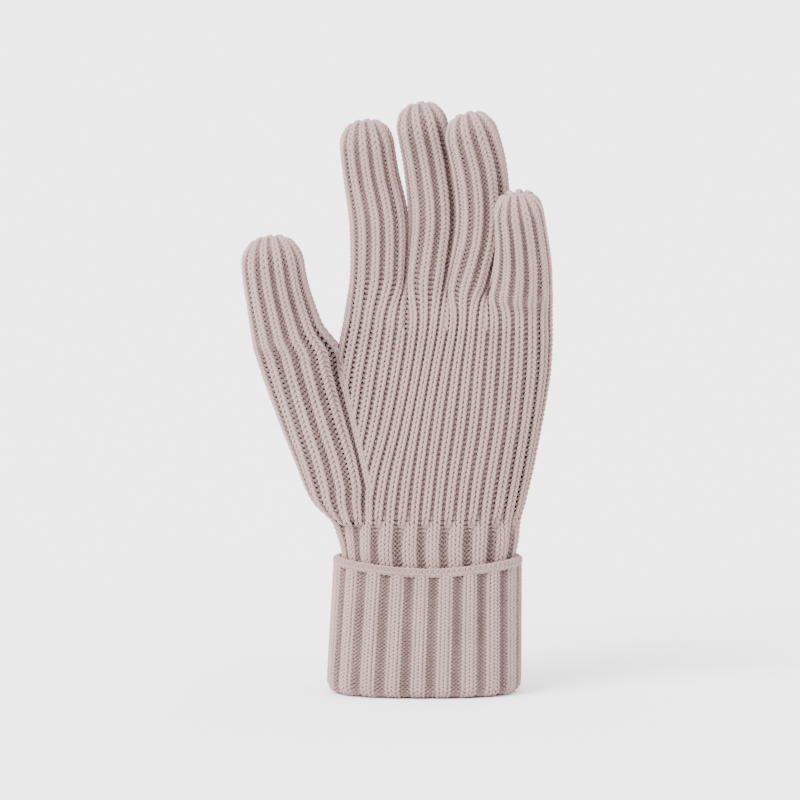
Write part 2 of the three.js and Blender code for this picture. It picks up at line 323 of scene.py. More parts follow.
def laid_courses(tree, lines, spot, gone, out):
    """Lays the courses on the surface as curves, without the stitches that are gone."""
    noted = put(tree, "GeometryNodeCaptureAttribute", domain="POINT")
    noted.capture_items.new("VECTOR", "Spot")
    noted.capture_items.new("FLOAT", "Gone")
    noted.capture_items.new("FLOAT", "Out")
    link(tree, lines, noted.inputs["Geometry"])
    link(tree, spot, noted.inputs["Spot"])
    feed(tree, noted.inputs["Gone"], gone)
    feed(tree, noted.inputs["Out"], calc(tree, "DIVIDE", out, mm))
    laid = put(tree, "GeometryNodeSetPosition")
    link(tree, noted.outputs["Geometry"], laid.inputs["Geometry"])
    link(tree, noted.outputs["Spot"], laid.inputs["Position"])
    left = put(tree, "GeometryNodeDeleteGeometry", domain="POINT", mode="ALL")
    link(tree, laid.outputs[0], left.inputs["Geometry"])
    link(tree, noted.outputs["Gone"], left.inputs["Selection"])
    curves = put(tree, "GeometryNodeMeshToCurve")
    link(tree, left.outputs[0], curves.inputs["Mesh"])
    return curves.outputs[0], noted.outputs["Out"]


def spun_yarn(tree, given, curves, proud):
    """Gives the courses the yarn's thickness, and notes on it what its material reads."""
    length = put(tree, "GeometryNodeCaptureAttribute", domain="POINT")
    length.capture_items.new("FLOAT", "Along")
    link(tree, curves, length.inputs["Geometry"])
    link(tree, put(tree, "GeometryNodeSplineParameter").outputs["Length"], length.inputs["Along"])
    circle = put(tree, "GeometryNodeCurvePrimitiveCircle", mode="RADIUS")
    feed(tree, circle.inputs["Resolution"], given["Yarn sides"])
    feed(tree, circle.inputs["Radius"], given["Yarn radius"])
    around = put(tree, "GeometryNodeCaptureAttribute", domain="POINT")
    around.capture_items.new("FLOAT", "Around")
    link(tree, circle.outputs[0], around.inputs["Geometry"])
    side = put(tree, "GeometryNodeSplineParameter").outputs["Index"]
    angle = calc(tree, "MULTIPLY", calc(tree, "DIVIDE", side, given["Yarn sides"]), TURN)
    feed(tree, around.inputs["Around"], angle)
    spun = put(tree, "GeometryNodeCurveToMesh")
    link(tree, length.outputs["Geometry"], spun.inputs["Curve"])
    link(tree, around.outputs["Geometry"], spun.inputs["Profile Curve"])
    spun.inputs["Fill Caps"].default_value = True
    mark = put(tree, "ShaderNodeCombineXYZ")
    feed(tree, mark.inputs["X"], calc(tree, "COSINE", around.outputs["Around"]))
    feed(tree, mark.inputs["Y"], calc(tree, "SINE", around.outputs["Around"]))
    feed(tree, mark.inputs["Z"], length.outputs["Along"])
    noted = spun.outputs[0]
    for name, kind, value in (("yarn", "FLOAT_VECTOR", mark.outputs[0]), ("proud", "FLOAT", proud)):
        note = put(tree, "GeometryNodeStoreNamedAttribute", data_type=kind, domain="POINT")
        note.inputs["Name"].default_value = name
        link(tree, noted, note.inputs["Geometry"])
        link(tree, value, note.inputs["Value"])
        noted = note.outputs[0]
    return noted


def knit_tree():
    """Geometry Nodes: knits yarn over a surface whose UV map says where wales and courses lie."""
    tree = bpy.data.node_groups.new("rib_knit", "GeometryNodeTree")
    tree.interface.new_socket("Knitting", in_out="OUTPUT", socket_type="NodeSocketGeometry")
    for name, (kind, value) in KNIT_INPUTS.items():
        made = tree.interface.new_socket(name, in_out="INPUT", socket_type="NodeSocket" + kind)
        if value is not None:
            made.default_value = value
    given = put(tree, "NodeGroupInput").outputs
    wale, course = place_in_knit(tree, given)
    swing, squeeze, rise, out = knit_loop(tree, given, wale, course)
    drift_across, drift_up = unevenness(tree, given, wale, course)
    across = calc(tree, "ADD", calc(tree, "ADD", wale, swing), calc(tree, "ADD", squeeze, drift_across))
    up = calc(tree, "ADD", calc(tree, "ADD", course, rise), drift_up)
    on_map = put(tree, "ShaderNodeCombineXYZ")
    feed(tree, on_map.inputs["X"], calc(tree, "DIVIDE", across, given["Wales in map"]))
    feed(tree, on_map.inputs["Y"], calc(tree, "DIVIDE", up, given["Courses in map"]))
    spot, gone = over_surface(tree, given, on_map.outputs[0], out)
    curves, proud = laid_courses(tree, course_lines(tree, given), spot, gone, out)
    smooth = put(tree, "GeometryNodeSetShadeSmooth")
    link(tree, spun_yarn(tree, given, curves, proud), smooth.inputs["Geometry"])
    real = put(tree, "GeometryNodeRealizeInstances")
    link(tree, smooth.outputs[0], real.inputs["Geometry"])
    finish = put(tree, "GeometryNodeSetMaterial")
    link(tree, real.outputs[0], finish.inputs["Geometry"])
    link(tree, given["Yarn"], finish.inputs["Material"])
    link(tree, finish.outputs[0], put(tree, "NodeGroupOutput").inputs["Knitting"])
    return tree


rib_knit = knit_tree()


def set_out(name, data):
    """Puts a mesh, a lamp or a camera in the scene."""
    made = bpy.data.objects.new(name, data)
    bpy.context.scene.collection.objects.link(made)
    return made


def surface(name, row_at, wales, courses, low_wale, high_wale, trim=None):
    """The knit's middle surface as a mesh. row_at(course, wales) gives one course's points in mm."""
    spare = 1.5
    columns = int((high_wale - low_wale) * POINTS_A_STITCH) + 1
    rows = int((courses + 2 * spare) * POINTS_A_STITCH) + 1
    wale = np.linspace(low_wale, high_wale, columns)
    course = np.linspace(-spare, courses + spare, rows)
    points = np.concatenate([row_at(c, wale) for c in course])
    index = np.arange(columns * rows).reshape(rows, columns)
    faces = np.stack([index[:-1, :-1], index[:-1, 1:], index[1:, 1:], index[1:, :-1]], -1)
    faces = faces.reshape(-1, 4)[:, ::-1]
    mesh = bpy.data.meshes.new(name)
    mesh.from_pydata((points * mm).tolist(), [], faces.tolist())
    corners = np.zeros(len(mesh.loops), np.int32)
    mesh.loops.foreach_get("vertex_index", corners)
    wale, course = np.meshgrid(wale / wales, course / courses)
    knit = np.stack([wale.ravel(), course.ravel()], 1)[corners]
    mesh.uv_layers.new(name="knit").data.foreach_set("uv", knit.astype(np.float32).ravel())
    cut = np.ones(len(points)) if trim is None else trim(points)
    mesh.attributes.new("trim", "FLOAT", "POINT").data.foreach_set("value", cut.astype(np.float32))
    mesh.shade_smooth()
    return set_out(name, mesh)


def knitted(name, base, **settings):
    """Knits over a surface, and gives back the yarn as a plain mesh object."""
    stitcher = base.modifiers.new("knit", "NODES")
    stitcher.node_group = rib_knit
    known = {s.name: s.identifier for s in rib_knit.interface.items_tree if s.in_out == "INPUT"}
    values = {"Yarn": yarn_wool, **settings}
    for title, value in values.items():
        stitcher[known[title.replace("_", " ")]] = value
    bpy.context.view_layer.update()
    result = base.evaluated_get(bpy.context.evaluated_depsgraph_get())
    mesh = bpy.data.meshes.new_from_object(result)
    mesh.name = name
    base.modifiers.remove(stitcher)
    return set_out(name, mesh)


# ---------------------------------------------------------------------------
# Cuff. Thick 2 x 2 rib, folded up over the wrist at its lower edge, so the knit's
# rows run upwards on the turned-back layer and its face wales stand out as ridges.
# ---------------------------------------------------------------------------

CUFF = [
    # height, middle in x, half width, half depth
    [0, 0, 39.2, 26],
    [54, 1.7, 37.7, 23.4],
]
CUFF_WALES = 80
CUFF_ROW = 1.5
TURNED_INSET = 1.5
FOLD_RADIUS = 2.6
INNER_START = 10
TURNED_TOP = 51.4
FLARE = 0.03  # the turned-back layer stands taller at its sides than in front
GROUND_GAP = 1.3  # keeps the yarn's underside on the ground
FOLD_LEVEL = 0.7  # how far the ridges drop and the valleys rise at the fold, to stand level
FOLD_HEIGHT = 5
FULLNESS = 0.8  # 1 makes an ellipse, and less fills its corners


def open_edges(quads):
    """The edges that only one face has."""
    edges = {}
    for quad in quads.tolist():
        for a, b in zip(quad, quad[1:] + quad[:1]):
            if (b, a) in edges:
                del edges[b, a]
            else:
                edges[a, b] = True
    return list(edges)


def inner_face(row_at, wales, courses, closed, keep=None, under=1.5, thick=0.7):
    """The knit's felted inner face: a thin closed wall under the yarn, seen only between stitches. Its
    near-black wool is painted shade for the gaps between the stitches.
    """
    columns = int((wales[1] - wales[0]) * POINTS_A_STITCH) + 1
    rows = max(int(courses[1] - courses[0]) + 1, 2)
    wale = np.linspace(*wales, columns)
    course = np.linspace(*courses, rows)
    if closed:
        wale = wale[:-1]
    points = np.stack([row_at(c, wale) for c in course])
    if closed:
        along = np.roll(points, -1, 1) - np.roll(points, 1, 1)
    else:
        along = np.gradient(points, axis=1)
    up = np.gradient(points, axis=0)
    normal = np.cross(up, along)
    normal = normal / np.maximum(np.linalg.norm(normal, axis=2, keepdims=True), 1e-6)
    count = points.shape[0] * points.shape[1]
    layers = [points - normal * under, points - normal * (under + thick)]
    layers = np.concatenate([layer.reshape(-1, 3) for layer in layers])
    index = np.arange(count).reshape(points.shape[:2])
    if closed:
        index = np.hstack([index, index[:, :1]])
    quads = np.stack([index[:-1, :-1], index[1:, :-1], index[1:, 1:], index[:-1, 1:]], -1)
    quads = quads.reshape(-1, 4)
    if keep is not None:
        quads = quads[keep(points.reshape(-1, 3)[quads].mean(1))]
    faces = quads.tolist() + (quads[:, ::-1] + count).tolist()
    faces += [[b, a, a + count, b + count] for a, b in open_edges(quads)]
    mesh = bpy.data.meshes.new("inner_face")
    mesh.from_pydata((layers * mm).tolist(), [], faces)
    clean = bmesh.new()
    clean.from_mesh(mesh)
    loose = [v for v in clean.verts if not v.link_faces]
    bmesh.ops.delete(clean, geom=loose, context="VERTS")
    clean.to_mesh(mesh)
    clean.free()
    mesh.materials.append(painted_shade_wool)
    mesh.shade_smooth()
    return set_out("inner_face", mesh)


def joined(piece, *others):
    """Joins objects into one."""
    with bpy.context.temp_override(active_object=piece, selected_editable_objects=[piece, *others]):
        bpy.ops.object.join()
    return piece


def between(stations, at):
    """Smooth values at some places, from rows of [place, value, value ...]."""
    table = np.asarray(stations, float)
    place, values = table[:, 0], table[:, 1:]
    span = np.diff(place)
    slope = np.empty_like(values)
    slope[1:-1] = (values[2:] - values[:-2]) / (place[2:] - place[:-2])[:, None]
    slope[0] = (values[1] - values[0]) / span[0]
    slope[-1] = (values[-1] - values[-2]) / span[-1]
    at = np.asarray(at, float)
    i = np.clip(np.searchsorted(place, at) - 1, 0, len(span) - 1)
    step = span[i][..., None]
    t = ((at - place[i]) / span[i])[..., None]
    start, end = values[i], values[i + 1]
    leave, arrive = slope[i] * step, slope[i + 1] * step
    bend = 3 * (end - start) - 2 * leave - arrive
    twist = 2 * (start - end) + leave + arrive
    return np.moveaxis(start + t * (leave + t * (bend + t * twist)), -1, 0)


def eased(value):
    """0 to 1 with a soft start and end."""
    value = np.clip(value, 0, 1)
    return value * value * (3 - 2 * value)


def fuller(value):
    """A cosine or sine with fuller corners than an ellipse's."""
    return np.sign(value) * np.abs(value) ** FULLNESS


def lengths(*columns):
    """The running length of a line of points."""
    steps = np.sqrt(sum(np.diff(column) ** 2 for column in columns))
    return np.concatenate([[0], steps.cumsum()])


def oval(half_width, half_depth, share):
    """Points round a full-cornered ring, by share of its length from +X through -Y."""
    turn = np.linspace(0, TURN, 361)
    x, y = half_width * fuller(np.cos(turn)), -half_depth * fuller(np.sin(turn))
    length = lengths(x, y)
    wanted = np.mod(share, 1) * length[-1]
    return np.interp(wanted, length, x), np.interp(wanted, length, y)


def cuff_row(course, wale):
    """Courses run down inside, round the lower fold, and up outside to the cast-off edge."""
    run = course * CUFF_ROW
    bend = math.pi * FOLD_RADIUS
    sweep = min(max((run - INNER_START) / bend, 0), 1) * math.pi
    height = FOLD_RADIUS * (1 - math.sin(sweep))
    height += max(INNER_START - run, 0) + max(run - INNER_START - bend, 0)
    depth = TURNED_INSET + FOLD_RADIUS * (1 + math.cos(sweep))
    middle, width, deep = between(CUFF, height)
    x, y = oval(width - depth, deep - depth, wale / CUFF_WALES)
    level = FOLD_LEVEL * np.sin(wale * math.pi / 2) * eased(1 - height / FOLD_HEIGHT)
    flare = height * FLARE * np.cos(2 * TURN * wale / CUFF_WALES) * (run > INNER_START)
    return np.stack([x + middle, y, height + GROUND_GAP + level + flare], 1)


turned_courses = int((INNER_START + math.pi * FOLD_RADIUS + TURNED_TOP - FOLD_RADIUS) / CUFF_ROW)
turned_base = surface("turned_base", cuff_row, CUFF_WALES, turned_courses, -1.5, CUFF_WALES + 1.5)
cuff_knit = dict(
    Wales_in_map=float(CUFF_WALES),
    Courses_in_map=float(turned_courses),
    Courses=turned_courses,
    Wide_rib_below=1.0,
    Wide_rib_above=1.0,
    Yarn_radius=0.6 * mm,
    Loop_swing=0.33,
    Loop_height=0.8,
    Loop_depth=0.6 * mm,
    Lift_below=0.6 * mm,
    Lift_above=0.85 * mm,
    Share_below=0.15,
    Share_above=0.15,
    Change_from=9.0,
    Change_to=15.0,
    Stretch_below=1.0,
    Stretch_above=1.0,
    Points_a_loop=10,
)
for name, start in (("cuff_turned_front", 0), ("cuff_turned_back", CUFF_WALES // 2)):
    piece = knitted(name, turned_base, First_wale=float(start), Wales=CUFF_WALES // 2, **cuff_knit)
    span = (start, start + CUFF_WALES // 2)
    joined(piece, inner_face(cuff_row, span, (0, turned_courses), False, under=1.2))
    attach(piece, "cuff")
    if start == 0:
        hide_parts("cuff_turned_layer", "cuff_lower_fold")
bpy.data.objects.remove(turned_base)


INNER_ROW = 2.0


def inner_row(course, wale):
    """The hidden layer, from the wrist down to the fold."""
    height = INNER_START + course * INNER_ROW
    middle, width, deep = between(CUFF, height)
    depth = TURNED_INSET + 2 * FOLD_RADIUS
    x, y = oval(width - depth, deep - depth, wale / CUFF_WALES)
    return np.stack([x + middle, y, np.full_like(x, height)], 1)


inner_courses = 20
inner_base = surface("inner_base", inner_row, CUFF_WALES, inner_courses, -1.5, CUFF_WALES + 1.5)
cuff_inner = knitted(
    "cuff_inner_layer_knit",
    inner_base,
    Wales_in_map=float(CUFF_WALES),
    Courses_in_map=float(inner_courses),
    Courses=inner_courses,
    Wales=CUFF_WALES,
    Wide_rib_below=1.0,
    Wide_rib_above=1.0,
    Yarn_radius=0.6 * mm,
    Yarn_sides=4,
    Loop_swing=0.16,
    Loop_depth=0.45 * mm,
    Lift_below=0.3 * mm,
    Lift_above=0.3 * mm,
    Points_a_loop=8,
)
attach(cuff_inner, "cuff")
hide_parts("cuff_inner_layer")
bpy.data.objects.remove(inner_base)

EDGE_HEIGHT = 52.0
EDGE_ROLL = 1.15
EDGE_WALES = 5
EDGE_STITCHES = 92


def edge_row(course, wale):
    """The cast-off chain lies along the cuff's top, rolled over from the outside to the inside."""
    roll = (wale - 1.0) / 3.0 * math.pi
    height = EDGE_HEIGHT + EDGE_ROLL * np.sin(roll)
    middle, width, deep = between(CUFF, EDGE_HEIGHT)
    depth = TURNED_INSET + EDGE_ROLL * np.cos(roll)
    share = course / EDGE_STITCHES
    spots = [oval(width - inset, deep - inset, share) for inset in depth]
    x, y = np.array(spots).T
    flare = EDGE_HEIGHT * FLARE * math.cos(2 * TURN * share)
    return np.stack([x + middle, y, height + flare], 1)


edge_base = surface("edge_base", edge_row, EDGE_WALES, EDGE_STITCHES, 0, EDGE_WALES)
edge_knit = knitted(
    "cuff_cast_off_chain",
    edge_base,
    Wales_in_map=float(EDGE_WALES),
    Courses_in_map=float(EDGE_STITCHES),
    Wales=EDGE_WALES,
    Courses=EDGE_STITCHES,
    Wide_rib_below=0.0,
    Yarn_radius=0.6 * mm,
    Loop_swing=0.3,
    Loop_height=0.8,
    Loop_depth=0.45 * mm,
    Lift_below=0.0,
    Lift_above=0.0,
    Share_below=0.0,
    Share_above=0.0,
)
edge_face = inner_face(edge_row, (0, EDGE_WALES), (0, EDGE_STITCHES), False, under=0.6, thick=0.5)
joined(edge_knit, edge_face)
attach(edge_knit, "cuff")
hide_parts("cuff_cast_off_edge")
bpy.data.objects.remove(edge_base)

# ---------------------------------------------------------------------------
# Wrist rib. The same 80 wales as the cuff, still in 2 x 2 rib, drawn in snugly
# round the wrist. It comes up out of the cuff.
# ---------------------------------------------------------------------------

BODY_WALES = 80
INSET = 1.1
HAND = [
    # height, left side, right side, half depth
    [46, -31.5, 34, 19.2],
    [56, -32.4, 36.2, 18.8],
    [61, -33.4, 37.4, 18.4],
    [70, -36.4, 38.4, 17.8],
    [79, -37.5, 40.8, 17.4],
    [95, -37.2, 44.4, 16.8],
    [127, -35.6, 50, 15.2],
    [141, -33.4, 51, 14.3],
    [153, -31.2, 51, 13.4],
    [168, -30.2, 51.4, 12.6],
]
WALE_LINES = [
    # height, and where wales 12, 20 and 28 cross the front
    [46, 15.5, -2.4, -20],
    [60, 14.8, -3.4, -21.6],
    [84, 17, -1.5, -20],
    [110, 21, 2, -14],
    [131, 23, 5.5, -10],
    [150, 24.5, 8.8, -7.4],
    [168, 24.8, 9.6, -6.8],
]
HAND_END = HAND[-1][0]
HAND_TURN = -0.07  # how far the knuckles are turned from the wrist
TURN_FROM, TURN_RUN = 73, 76


def front_half(left, right, deep):
    """The front of a tube's outline from its right side to its left, and its running length."""
    turn = np.linspace(0, math.pi, 181)
    x = (left + right) / 2 + ((right - left) / 2 - INSET) * fuller(np.cos(turn))
    y = -(deep - INSET) * fuller(np.sin(turn))
    return x, y, lengths(x, y)


def turned(x, y, height):
    """A course's points, turned with the hand."""
    lean = HAND_TURN * eased((height - TURN_FROM) / TURN_RUN)
    return np.stack([x, y + lean * x, np.full_like(x, height)], 1)


def hand_row(height, wale):
    """The hand's wales at a height. Wale 0 is its outer edge, and wale 40 its thumb edge."""
    x, y, length = front_half(*between(HAND, min(height, HAND_END)))
    crossings = np.interp(-between(WALE_LINES, min(height, HAND_END)), -x, length)
    marks = [[0, 0], [12, crossings[0]], [20, crossings[1]], [28, crossings[2]], [40, length[-1]]]
    wale = np.mod(wale, BODY_WALES)
    at = between(marks, np.minimum(wale, BODY_WALES - wale))[0]
    x_at, y_at = np.interp(at, length, x), np.interp(at, length, y)
    y_at = np.where(wale > BODY_WALES / 2, -y_at, y_at)
    return turned(x_at, y_at, height)


WRIST_START, HAND_START, HAND_TOP = 46, 71, 149
WRIST_ROW = 1.9


def wrist_row(course, wale):
    return hand_row(WRIST_START + course * WRIST_ROW, wale)


# the 2 x 2 rib turns into the hand's 1 x 1 rib between these heights
RIB_CHANGE = (63, 77)
wrist_to_hand = dict(
    Wide_rib_below=1.0,
    Wide_rib_above=0.0,
    Yarn_radius=0.58 * mm,
    Loop_swing=0.32,
    Loop_depth=0.75 * mm,
    Lift_below=0.95 * mm,
    Lift_above=1.1 * mm,
    Share_below=0.15,
    Share_above=0.42,
    Stretch_below=1.0,
    Stretch_above=0.0,
    Direction=-1.0,
)
wrist_courses = round((HAND_START - WRIST_START) / WRIST_ROW)
wrist_base = surface("wrist_base", wrist_row, BODY_WALES, wrist_courses, -1.5, BODY_WALES + 1.5)
wrist = knitted(
    "wrist_rib_knit",
    wrist_base,
    Wales_in_map=float(BODY_WALES),
    Courses_in_map=float(wrist_courses),
    Courses=wrist_courses,
    Wales=BODY_WALES,
    Change_from=(RIB_CHANGE[0] - WRIST_START) / WRIST_ROW,
    Change_to=(RIB_CHANGE[1] - WRIST_START) / WRIST_ROW,
    **wrist_to_hand,
)
joined(wrist, inner_face(wrist_row, (0, BODY_WALES), (0, wrist_courses), True))
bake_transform(wrist)
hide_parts("wrist_rib")
bpy.data.objects.remove(wrist_base)

# ---------------------------------------------------------------------------
# Hand. One tube in 1 x 1 rib, with narrow deep valleys between its face wales. On
# the thumb side its wales start one after another along the mitre line.
# ---------------------------------------------------------------------------

HAND_ROW = 2.0
MITRE = [
    # height, and where the gusset's edge crosses the front and the back
    [60, -21.4],
    [71, -20.9],
    [84, -20.4],
    [131, -32],
    [133.6, -32.6],
]
MITRE_TOP = MITRE[-1][0]
MITRE_LAP = 0.2  # the hand's knit goes this far past the line


def mitre_at(height):
    return np.interp(height, [row[0] for row in MITRE], [row[1] for row in MITRE])


def hand_course(course, wale):
    return hand_row(HAND_START + course * HAND_ROW, wale)


def past_mitre(points):
    """Above zero on the hand's side of the mitre line."""
    x, height = points[:, 0], points[:, 2]
    return np.where(height < MITRE_TOP, x - mitre_at(height) + MITRE_LAP, 1.0)


hand_courses = round((HAND_TOP - HAND_START) / HAND_ROW)
hand_base = surface(
    "hand_base", hand_course, BODY_WALES, hand_courses, -1.5, BODY_WALES + 1.5, past_mitre
)
hand_rib = dict(
    wrist_to_hand,
    Change_from=(RIB_CHANGE[0] - HAND_START) / HAND_ROW,
    Change_to=(RIB_CHANGE[1] - HAND_START) / HAND_ROW,
)
for name, start in (("hand_palm_knit", 0), ("hand_back_knit", BODY_WALES // 2)):
    piece = knitted(
        name,
        hand_base,
        Wales_in_map=float(BODY_WALES),
        Courses_in_map=float(hand_courses),
        Courses=hand_courses,
        Wales=BODY_WALES // 2,
        First_wale=float(start),
        **hand_rib,
    )
    span = (start, start + BODY_WALES // 2)
    lining = inner_face(hand_course, span, (0, hand_courses), False, lambda p: past_mitre(p) > -1.5)
    joined(piece, lining)
    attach(piece, "hand")
    if start == 0:
        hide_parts("hand_tube")
bpy.data.objects.remove(hand_base)

# ---------------------------------------------------------------------------
# Thumb gusset. A wedge of rib between the hand and the thumb, whose wales run up
# beside the mitre line. It is knitted in one with the thumb tube above it.
# ---------------------------------------------------------------------------

GUSSET_WALES = 24
GUSSET = [
    # height, left side, right side, half depth, where its middle lies in depth
    [70, -36.6, -10, 17.4, 0],
    [79, -45.2, -14, 16.8, 0],
    [95, -52, -20, 16.2, -0.4],
    [111, -58.4, -23, 15.4, -1.2],
    [127, -64.2, -26, 14.6, -2.2],
    [141, -68.6, -30, 13.8, -3],
    [160, -72, -32, 13, -4],
]
GUSSET_END = GUSSET[-1][0]
FLUSH = 9  # for this far beside the mitre line it lies flush with the hand


def gusset_row(height, wale):
    """Wale 0 lies along the mitre line in front, wale 24 along it behind."""
    height = min(height, GUSSET_END)
    left, right, deep, middle = between(GUSSET, height)
    x, y, length = front_half(left, right, deep)
    start = np.interp(-mitre_at(height), -x, length)
    half = GUSSET_WALES / 2
    folded = half - np.abs(wale - half)
    at = start + (length[-1] - start) * folded / half
    x_at, y_at = np.interp(at, length, x), np.interp(at, length, y)
    hand_left, hand_right, hand_deep = between(HAND, height)
    reach = (x_at - (hand_left + hand_right) / 2) / ((hand_right - hand_left) / 2 - INSET)
    reach = np.clip(np.abs(reach), 0, 1) ** (1 / FULLNESS)
    beside = -(hand_deep - INSET) * (1 - reach**2) ** (FULLNESS / 2)
    near = 1 - eased((mitre_at(height) - x_at) / FLUSH)
    y_at = np.where(near > 0, y_at + (beside - y_at) * near, y_at)
    y_at = np.where(wale > half, -y_at, y_at) + middle * (1 - near)
    return turned(x_at, y_at, height)


GUSSET_TOP = 131


def gusset_course(course, wale):
    return gusset_row(HAND_START + course * HAND_ROW, wale)


gusset_courses = round((GUSSET_TOP - HAND_START) / HAND_ROW)
gusset_base = surface("gusset_base", gusset_course, GUSSET_WALES, gusset_courses, -1, GUSSET_WALES + 1)
gusset_rib = dict(
    hand_rib,
    Yarn_radius=0.66 * mm,
    Loop_swing=0.3,
    Lift_above=0.8 * mm,
    Share_above=0.1,
    Stretch_above=1.0,
)
gusset = knitted(
    "thumb_gusset_knit",
    gusset_base,
    Wales_in_map=float(GUSSET_WALES),
    Courses_in_map=float(gusset_courses),
    Courses=gusset_courses,
    Wales=GUSSET_WALES,
    **gusset_rib,
)
joined(gusset, inner_face(gusset_course, (0, GUSSET_WALES), (0, gusset_courses), False))
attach(gusset, "hand")
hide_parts("thumb_gusset")
bpy.data.objects.remove(gusset_base)

# ---------------------------------------------------------------------------
# Fingers and thumb. Each is a round tube in stretched 1 x 1 rib, closed over its
# tip. Its wales are the hand's, which part at the crotches to run up the digits.
# ---------------------------------------------------------------------------

DIGIT_ROW = 1.9
TIP_SHARE = 0.45  # how far the courses still draw in sideways over the tip
DIGIT_INSET = 1.6  # from the tube's outer skin to the middle of its knit
UPRIGHT = 18  # for this far up from the hand, the courses turn from level to square
TIP_BLUNTNESS = 0.97  # how far the tip's dome reaches, for its half width
TIP_RUN = 1.4  # how far the courses run over the dome, for its height
TIP_FULLNESS = 2.5  # 2 makes a round dome, and more fills it


def path_of(digit):
    """The digit's middle line: its places, points and running length."""
    table = [[i, *point] for i, point in enumerate(digit["path"])]
    places = np.linspace(0, len(table) - 1, 241)
    values = between(table, places)
    return places, values, lengths(*values[:3])


def tip_and_base(values, length):
    """The height of a digit's dome, and how far up the middle line it begins."""
    tip = values[3, -1] * TIP_BLUNTNESS - DIGIT_INSET
    return tip, length[-1] - DIGIT_INSET - tip


def digit_row(digit, course, wale):
    """A course of a digit's tube. Low down it follows the hand, and high up it closes the tip."""
    values, length = digit["line"][1:]
    run = course * DIGIT_ROW + digit["run_start"]
    tip, base = tip_and_base(values, length)
    along = min(max(run, 0), base)
    x, y, z, half_width, half_depth = (np.interp(along, length, row) for row in values)
    ahead, behind = min(along + 0.5, length[-1]), max(along - 0.5, 0)
    line = values[:3]
    rise = np.array([np.interp(ahead, length, row) - np.interp(behind, length, row) for row in line])
    rise = rise / np.linalg.norm(rise)
    straight = 1 - eased(along / UPRIGHT)
    rise = rise * (1 - straight) + np.array([0, 0, 1]) * straight
    rise = rise / np.linalg.norm(rise)
    width = np.array([1, 0, 0]) - rise[0] * rise
    width = width / np.linalg.norm(width)
    depth = np.cross(rise, width)
    half_width, half_depth = half_width - DIGIT_INSET, half_depth - DIGIT_INSET
    share = (wale - digit["aligned"]) / digit["wales"]
    across, deep = oval(half_width, half_depth, share)
    over = min(max((run - base) / (tip * TIP_RUN), 0), 1) * math.pi / 2
    across = across * (1 - TIP_SHARE * (1 - math.cos(over)))
    deep = deep * math.cos(over)
    reach = np.abs(across / half_width) ** TIP_FULLNESS + np.abs(deep / half_depth) ** TIP_FULLNESS
    cap = tip * np.sqrt(np.clip(1 - reach, 0, 1)) if over > 0 else np.zeros_like(across)
    centre = np.array([x, y, z])
    tube = centre + across[:, None] * width + deep[:, None] * depth + cap[:, None] * rise
    height = values[2, 0] + run
    low, high = digit["parts"]
    if height >= high + digit["late"]:
        return tube
    known = np.concatenate([np.linspace(a, b, 49) for a, b, _ in digit["runs"]])
    source = np.concatenate([np.linspace(a, b, 49) - a + start for a, b, start in digit["runs"]])
    points = digit["below"](height, source)
    follow = np.stack([np.interp(wale, known, points[:, i], period=digit["wales"]) for i in (0, 1)], 1)
    follow = np.concatenate([follow, np.full((len(wale), 1), height)], 1)
    late = digit["late"] * np.clip(np.cos(share * TURN), 0, 1)
    part = eased((height - low - late) / (high - low))[:, None]
    return follow * (1 - part) + tube * part


# Each path is a digit's middle line, root to tip: x, y, height, half width and half depth.
# "aligned" is the wale on its side away from the thumb. "runs" has the first and last of the
# wales that come up from the hand, and the hand's own number for the first
DIGITS = {
    "index": dict(
        path=[
            [-19.6, 1.4, 149, 11.8, 12.6],
            [-18.4, 3, 164, 11.4, 11.2],
            [-18, 4.5, 189, 12, 10.7],
            [-21.5, 3, 210.5, 11.2, 10.6],
            [-24, -2, 231, 10.9, 10.4],
        ],
        wales=24,
        aligned=28,
        runs=[(28.2, 51.8, 28.2)],
    ),
    "middle": dict(
        path=[
            [0.6, 0, 149, 8.3, 12.6],
            [1.4, 2, 165, 9, 11.4],
            [4.2, 3.4, 191, 10.6, 10.3],
            [2, 1, 214.5, 10.5, 10.3],
            [-2.7, -5, 238, 10.4, 10.2],
        ],
        wales=20,
        aligned=19,
        runs=[(20, 28, 20), (30, 38, 52)],
    ),
    "ring": dict(
        path=[
            [17, -1.2, 149, 7.7, 12.6],
            [17.3, -1.4, 162, 8.9, 11.4],
            [23.2, -5.3, 188, 10.3, 10.2],
            [22.4, -9.8, 211, 10.9, 10.2],
            [16.6, -17, 234.3, 10.4, 10],
        ],
        wales=20,
        aligned=11,
        runs=[(12, 20, 12), (22, 30, 60)],
    ),
    "little": dict(
        path=[
            [38.2, -2.8, 149, 12.7, 12.2],
            [38.3, -6, 157, 13.3, 11.6],
            [39.5, -14.4, 173.5, 11.6, 10.2],
            [38.6, -23.6, 188, 10.2, 9.6],
            [36.2, -33, 203, 9.8, 9.4],
        ],
        wales=24,
        aligned=0,
        runs=[(0, 11.8, 0), (12.2, 24, 68.2)],
    ),
    "thumb": dict(
        path=[
            [-51.3, -2.6, 133.3, 15.4, 13.4],
            [-54.2, -3.4, 143, 14.8, 13],
            [-59.2, -6, 164, 12.9, 12.1],
            [-62, -10, 185, 12.7, 11.8],
        ],
        wales=26,
        aligned=25,
        runs=[(0, 24, 0)],
    ),
}
for name, digit in DIGITS.items():
    thumb = name == "thumb"
    digit["line"] = path_of(digit)
    digit["below"] = gusset_row if thumb else hand_row
    # the heights between which a digit's round tube parts from the hand, and how much
    # longer its crotch side keeps to the hand
    digit["parts"] = (131, 145) if thumb else (151, 169)
    digit["late"] = 2.5 if thumb else 0
    digit["run_start"] = (GUSSET_TOP if thumb else HAND_TOP) - digit["path"][0][2]

